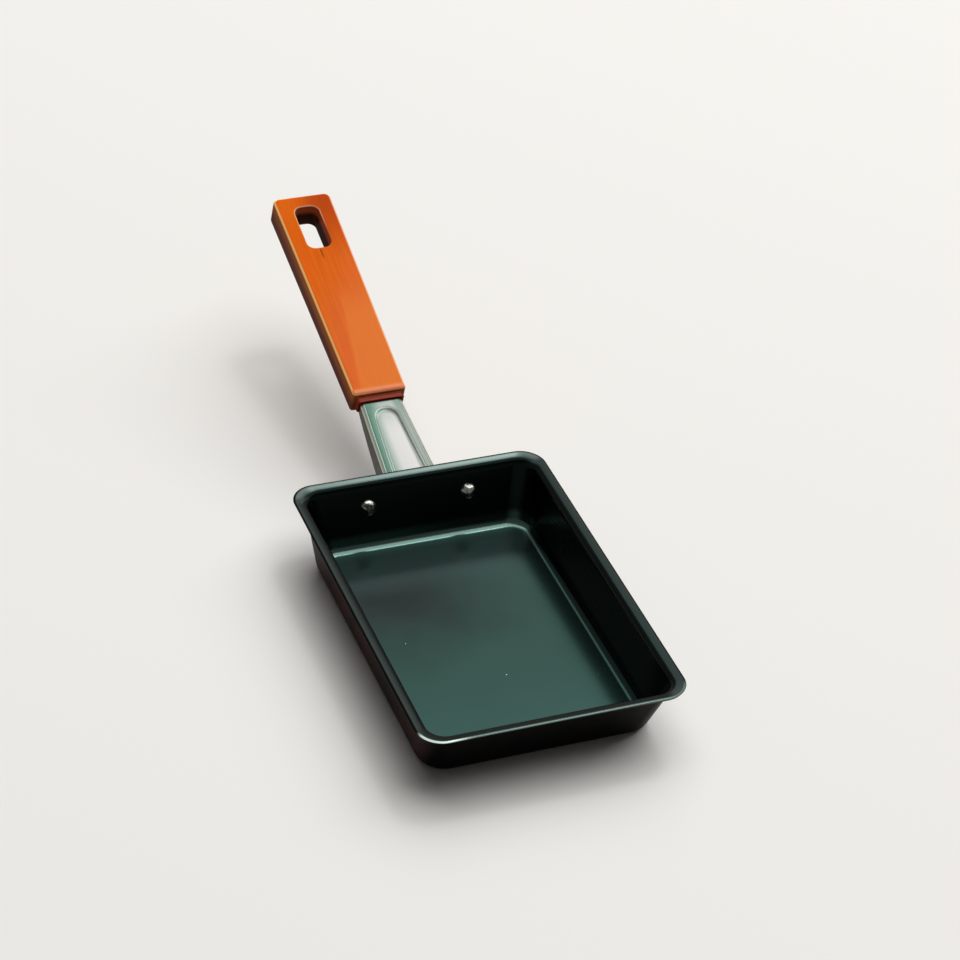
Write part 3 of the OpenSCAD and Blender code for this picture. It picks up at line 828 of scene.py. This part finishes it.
def bracket_finish():
    """Grey green flake enamel with a painted reflection that follows the bracket's width, painted light on
    the slopes and bends, and painted shade on the sides.
    """
    material, tree, place = new_material("grey_green_metallic_enamel")
    x, y = in_mm(tree, place)[:2]
    half_width = calc(tree, "MULTIPLY_ADD", mask(tree, y, *NARROWS), -NARROWS_BY, PAN_END_HALF)
    across = calc(tree, "MULTIPLY_ADD", calc(tree, "DIVIDE", x, half_width), 0.5, 0.5)
    tones = add(tree, "ShaderNodeValToRGB", {"Fac": across})
    ramp = tones.color_ramp
    for i, (position, tone) in enumerate(BRACKET_TONES_AND_REFLECTION):
        stop = ramp.elements[i] if i < 2 else ramp.elements.new(position)
        stop.position, stop.color = position, linear(tone)
    colour = laid(tree, tones.outputs["Color"], GRIP_END_TONE, mask(tree, y, *GRIP_END), 0.6)
    groove_light = mixed(tree, mask(tree, across, *GROOVE_LIGHT_SIDES), GROOVE_LIGHT_LEFT, GROOVE_LIGHT_RIGHT)
    colour = laid(tree, colour, groove_light, mask(tree, facing(tree, GRIP_UP), *GROOVE_LIGHT), 0.85)
    sideways = calc(tree, "ABSOLUTE", facing(tree, (1, 0, 0)))
    colour = laid(tree, colour, BEND_HIGHLIGHT_TONE, mask(tree, sideways, *BEND_HIGHLIGHT))
    colour = laid(tree, colour, SIDE_SHADE_TONE, mask(tree, sideways, *SIDE_SHADE))
    return close_material(material, add(tree, "ShaderNodeBsdfPrincipled", {
        "Base Color": colour, "Metallic": 1.0, "Roughness": 0.33, "Normal": ripple(tree, place, *SPRAYED)}))


bracket_enamel = bracket_finish()

# %% [markdown]
# ## Steel of the rivets and the screw
#
# Cold-headed steel is bright, with small dull and dark spots from use. The screw is zinc plated: duller,
# paler and more even.

# %% Bright steel
SPOT, SPOT_EDGE, SPOT_DULLNESS = 2.4, (0.42, 0.6), 0.15
DENTS = (1.5, 0.15, 0.3)


def bright_steel(name, bright, dark, roughness):
    """Steel with spots that are darker and duller than the rest."""
    material, tree, place = new_material(name)
    spots = mask(tree, noise(tree, place, SPOT, 4.0), *SPOT_EDGE)
    return close_material(material, add(tree, "ShaderNodeBsdfPrincipled", {
        "Base Color": mixed(tree, spots, bright, dark), "Metallic": 1.0,
        "Roughness": calc(tree, "MULTIPLY_ADD", spots, SPOT_DULLNESS, roughness),
        "Normal": ripple(tree, place, *DENTS)}))


rivet_steel = bright_steel("headed_steel", "#a3a49f", "#33322e", 0.16)
screw_steel = bright_steel("zinc_plated_steel", "#b9bab6", "#8f908c", 0.3)

# %% [markdown]
# ## Lacquered wood of the grip
#
# The grip is fine-grained hardwood, stained orange brown and lacquered. It is tilted, so a Mapping node
# first turns Object coordinates into the grip's own: X across it, Y along it from the near end, Z up from
# its upper face. In these the grain is a noise stretched lengthwise. A slanting paler band on the right of
# the near half, which is a painted reflection of the lamp, the redder far end and one short crack in the
# grain, just before the hanging hole, are laid over it.

# %% Tones of the upper face
GRAIN, GRAIN_EDGE, GRAIN_LIGHT, GRAIN_DARK = (1.6, 60, 3), (0.35, 0.7), "#e36805", "#dd5c03"
FIGURE, FIGURE_EDGE, FIGURE_TONE = (9, 34, 12), (0.5, 0.75), "#e8620a"
# Painted reflection: a slanting paler band on the right of the grip's near half.
SHEEN_BAND_TONE, SHEEN_BAND_SLANT, SHEEN_BAND_WAVE = "#ea7a1c", -0.13, 3
SHEEN_BAND_EDGE, SHEEN_BAND_END = (-8.6, -6.4), (78, 48)
FAR_TONE, FAR_LENGTH, FAR_WIDTH = "#b03a06", (84, 128), (-8, 9)
CRACK_TONE, CRACK_X, CRACK_HALF, CRACK_BLUR = "#5a1e08", -1, 0.55, 0.4
CRACK_START, CRACK_STOP = (90.5, 93), (98.2, 97)


def upper_face_tones_and_sheen(tree, own, figure):
    """Grain, figure, a painted reflection band, the far end and the crack."""
    x, y = in_mm(tree, own)[:2]
    colour = mixed(tree, mask(tree, noise(tree, own, GRAIN, 5.0), *GRAIN_EDGE), GRAIN_LIGHT, GRAIN_DARK)
    colour = laid(tree, colour, FIGURE_TONE, mask(tree, figure, *FIGURE_EDGE))
    slanting = calc(tree, "MULTIPLY_ADD", y, SHEEN_BAND_SLANT, x)
    wavy = calc(tree, "MULTIPLY_ADD", figure, SHEEN_BAND_WAVE, slanting)
    colour = laid(tree, colour, SHEEN_BAND_TONE, mask(tree, wavy, *SHEEN_BAND_EDGE),
                  mask(tree, y, *SHEEN_BAND_END), 0.75)
    colour = laid(tree, colour, FAR_TONE, mask(tree, y, *FAR_LENGTH), mask(tree, x, *FAR_WIDTH), 0.75)
    return laid(tree, colour, CRACK_TONE, near(tree, x, CRACK_X, CRACK_HALF, CRACK_BLUR),
                mask(tree, y, *CRACK_START), mask(tree, y, *CRACK_STOP), 0.8)


# %% [markdown]
# Round this face the wood is painted darker on its flanks and deep in the hole, as painted shade, while
# the hole's wall is painted lit orange near its top, and every rounded edge carries a painted highlight:
# yellowish along the left and pinkish elsewhere. `up` is how far the surface looks up, and so it finds
# the flanks and the rounded edges. Round the hole's mouth the painted highlight is kept mostly at its far
# end. The upper face ends in a pinkish painted highlight band, and the shoulder before it is painted dark
# red as painted shade.

# %% Painted shade and highlights of the flanks, edges and hole
# Painted shade on the flanks, darker towards their foot.
FLANK_SHADE, FLANK_SHADE_DEPTH = (0.55, 0.1), (-2, -9)
FLANK_SHADE_TOP, FLANK_SHADE_FOOT, FLANK_SHADE_FIGURE = "#c26d34", "#5e3a34", "#6e3c2c"
# Painted highlight along the rounded edges: yellowish on the left, pinkish elsewhere.
EDGE_HIGHLIGHT_LOW, EDGE_HIGHLIGHT_HIGH, EDGE_HIGHLIGHT_WEIGHT = (0.4, 0.65), (0.985, 0.88), 0.95
LEFT_EDGE_HIGHLIGHT, EDGE_HIGHLIGHT_TONE, EDGE_HIGHLIGHT_SIDES = "#ffd48a", "#f3b090", (-10, -4)
AROUND_HOLE, AROUND_HOLE_EDGE = 1.5, 0.4                        # how far out the mouth is taken to reach
# The painted edge highlight round the hole's mouth is kept mostly at its far end.
FAR_MOUTH_HIGHLIGHT, MOUTH_UNLIT = (108, 126), 0.75
# Painted highlight: a pinkish band where the upper face ends at the near end.
END_HIGHLIGHT_TONE, END_HIGHLIGHT_BAND, END_HIGHLIGHT_UP = "#f08c5c", (4, 2.6), (0.5, 0.9)
# Painted light and shade in the hole: lit orange near its top, dark deeper down.
HOLE_LIT_TOP, HOLE_SHADE_FOOT, HOLE_SHADE_FIGURE = "#c8602c", "#1d0a06", "#5a2412"
HOLE_SHADE_FROM, HOLE_SHADE_DEPTH = (-0.5, -1.2), (-3, -7)
# Painted shade: the shoulder is painted dark red.
SHOULDER_SHADE_TONE, SHOULDER_SHADE_FROM = "#8a2f1c", (0.2, -0.6)


def flank_edge_and_hole_painted_light(tree, own, figure, colour):
    """The upper face's colour, with the painted shade and painted highlights of the rest of the grip laid
    over it.
    """
    x, y, z = in_mm(tree, own)
    up = facing(tree, GRIP_UP)
    flank_shade = mixed(tree, mask(tree, z, *FLANK_SHADE_DEPTH), FLANK_SHADE_TOP, FLANK_SHADE_FOOT)
    colour = laid(tree, colour, mixed(tree, figure, flank_shade, FLANK_SHADE_FIGURE), mask(tree, up, *FLANK_SHADE))
    hole = all_of(tree, near(tree, x, 0, HOLE_W / 2 + AROUND_HOLE, AROUND_HOLE_EDGE),
                  near(tree, y, HOLE_AT, HOLE_L / 2 + AROUND_HOLE, AROUND_HOLE_EDGE))
    mouth_unlit = calc(tree, "SUBTRACT", MOUTH_UNLIT, mask(tree, y, *FAR_MOUTH_HIGHLIGHT))
    edge_highlight_amount = calc(tree, "SUBTRACT", EDGE_HIGHLIGHT_WEIGHT, all_of(tree, hole, mouth_unlit))
    edge_highlight = mixed(tree, mask(tree, x, *EDGE_HIGHLIGHT_SIDES), LEFT_EDGE_HIGHLIGHT, EDGE_HIGHLIGHT_TONE)
    colour = laid(tree, colour, edge_highlight, mask(tree, up, *EDGE_HIGHLIGHT_LOW), mask(tree, up, *EDGE_HIGHLIGHT_HIGH), edge_highlight_amount)
    colour = laid(tree, colour, END_HIGHLIGHT_TONE, mask(tree, y, *END_HIGHLIGHT_BAND), mask(tree, up, *END_HIGHLIGHT_UP))
    hole_shade = mixed(tree, mask(tree, z, *HOLE_SHADE_DEPTH), HOLE_LIT_TOP, HOLE_SHADE_FOOT)
    hole_shade = laid(tree, hole_shade, HOLE_SHADE_FIGURE, figure, 0.5)
    colour = laid(tree, colour, hole_shade, hole, mask(tree, z, *HOLE_SHADE_FROM))
    return laid(tree, colour, SHOULDER_SHADE_TONE, mask(tree, y, *SHOULDER_SHADE_FROM))


# %% [markdown]
# The lacquer is a thin coat over wood that has no mirror of its own. It is kept weak, because the
# photograph shows hardly any reflection of the lamp on the grip.

# %% Lacquered hardwood
def lacquered_wood():
    """Stained and lacquered hardwood, in the grip's own coordinates."""
    material, tree, place = new_material("lacquered_hardwood")
    to_origin = -(Matrix.Rotation(-GRIP_TILT, 3, "X") @ (Vector(GRIP_AT) * MM))
    own = add(tree, "ShaderNodeMapping", {
        "Vector": place, "Rotation": (-GRIP_TILT, 0, 0), "Location": to_origin}).outputs[0]
    figure = noise(tree, own, FIGURE, 4.0)
    colour = upper_face_tones_and_sheen(tree, own, figure)
    colour = flank_edge_and_hole_painted_light(tree, own, figure, colour)
    return close_material(material, add(tree, "ShaderNodeBsdfPrincipled", {
        "Base Color": colour, "Roughness": 0.5, "Specular IOR Level": 0.0, "Coat Weight": 0.05,
        "Coat Roughness": 0.08}))


wood = lacquered_wood()

# %% [markdown]
# ## Dress the pieces and hand them over
#
# Each piece gets its finish, rides on the one body of the frame, and stands for its CAD node, which is
# then hidden. The pan has two finishes, and its faces already know which of the two is theirs.

# %% Dress the pieces
def hand_over(piece, materials, slot, *replaced):
    """Dresses the piece, which rides on the one body and stands for its CAD nodes."""
    piece.data.materials.clear()
    for material in materials:
        piece.data.materials.append(material)
    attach(piece, "root")
    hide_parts(*replaced)
    print(piece.name, "stands for", *replaced)


inside_or_outside = [polygon.material_index for polygon in pan.data.polygons]
hand_over(pan, (coating, enamel), "coated_steel", "pan_body")
pan.data.polygons.foreach_set("material_index", inside_or_outside)
hand_over(bracket, (bracket_enamel,), "bracket_enamel", "handle_bracket")
hand_over(grip, (wood,), "lacquered_wood", "wood_grip")
hand_over(screw, (screw_steel,), "screw_steel", "handle_screw")
hand_over(rivets[0], (rivet_steel,), "rivet_steel", "rivet_left")
hand_over(rivets[1], (rivet_steel,), "rivet_steel", "rivet_right")

# %% [markdown]
# ## The table
#
# The photograph has a plain pale ground without an edge or a horizon. A large plane a hair below the pan
# stands for it, in the background's own colour, and only the shadow tells the two apart.

# %% Ground
GROUND, GROUND_SIZE, GROUND_DROP = "#efede9", 8, 0.1 * MM


def pale_ground():
    """Matt and even, so that it shows nothing but the shadow."""
    material, tree = new_material("pale_ground")[:2]
    return close_material(material, add(tree, "ShaderNodeBsdfDiffuse", {"Color": linear(GROUND)}))


ground = start("floor", bpy.ops.mesh.primitive_plane_add, size=GROUND_SIZE)
bpy.ops.transform.translate(value=(0, 0, -GROUND_DROP))
bpy.ops.object.mode_set(mode="OBJECT")
ground.data.materials.append(pale_ground())
print("ground", GROUND_SIZE, "m wide")

# %% [markdown]
# ## The light
#
# The light comes from high on the right and behind. A very large sheet gives the soft shadow and the even
# sheen on the pan's floor. A much smaller and brighter box stands in nearly the same direction, and the
# bracket's panel and the rear rim lean just so that they mirror it. Both stand far off, so the ground is
# lit evenly.

# %% Lamps
LAMP_DISTANCE = 6.0


def softbox(name, azimuth, height, size, power):
    """A square soft lamp. In degrees, azimuth 0 is behind the pan, 90 on its right, and height is upwards."""
    data = bpy.data.lights.new(name, "AREA")
    data.shape = "SQUARE"
    data.size = size
    data.energy = power
    lamp = bpy.data.objects.new(name, data)
    bpy.context.scene.collection.objects.link(lamp)
    turn, climb = math.radians(azimuth), math.radians(height)
    towards = Vector((math.sin(turn) * math.cos(climb), math.cos(turn) * math.cos(climb), math.sin(climb)))
    lamp.location = towards * LAMP_DISTANCE
    lamp.rotation_mode = "QUATERNION"
    lamp.rotation_quaternion = (-towards).to_track_quat("-Z", "Y")
    print(name, "gives", power, "W from", LAMP_DISTANCE, "m")


softbox("overhead_sheet", azimuth=50, height=62, size=8.4, power=550)
softbox("key_box", azimuth=44, height=60, size=1.1, power=36)

# %% [markdown]
# The room is dim, so that the shadows stay deep. Gloss would then mirror a dark room, so glossy rays see
# it brighter, and the camera sees the ground's own colour behind everything. Light Path tells the rays
# apart.

# %% Room
ROOM = 0.08                  # how bright the room is, against the pale background
MIRRORED_ROOM = 0.35         # the same, as glossy surfaces see it

world = bpy.data.worlds.new("studio")
world.use_nodes = True
bpy.context.scene.world = world
tree = world.node_tree
tree.nodes.clear()
rays = add(tree, "ShaderNodeLightPath").outputs
mirrored = add(tree, "ShaderNodeMapRange", {
    "Value": rays["Is Glossy Ray"], "To Min": ROOM, "To Max": MIRRORED_ROOM}).outputs["Result"]
seen = calc(tree, "MAXIMUM", rays["Is Camera Ray"], rays["Is Transmission Ray"])
strength = add(tree, "ShaderNodeMapRange", {
    "Value": seen, "To Min": mirrored, "To Max": 1.0}).outputs["Result"]
background = add(tree, "ShaderNodeBackground", {"Color": linear(GROUND), "Strength": strength})
add(tree, "ShaderNodeOutputWorld", {"Surface": background.outputs["Background"]})
print("the room is", ROOM, "as bright as the background")

# %% [markdown]
# ## Close
#
# The view transform stays Standard, so a colour renders about as it is written.

# %% View transform
bpy.context.scene.view_settings.view_transform = "Standard"
clear_selection()
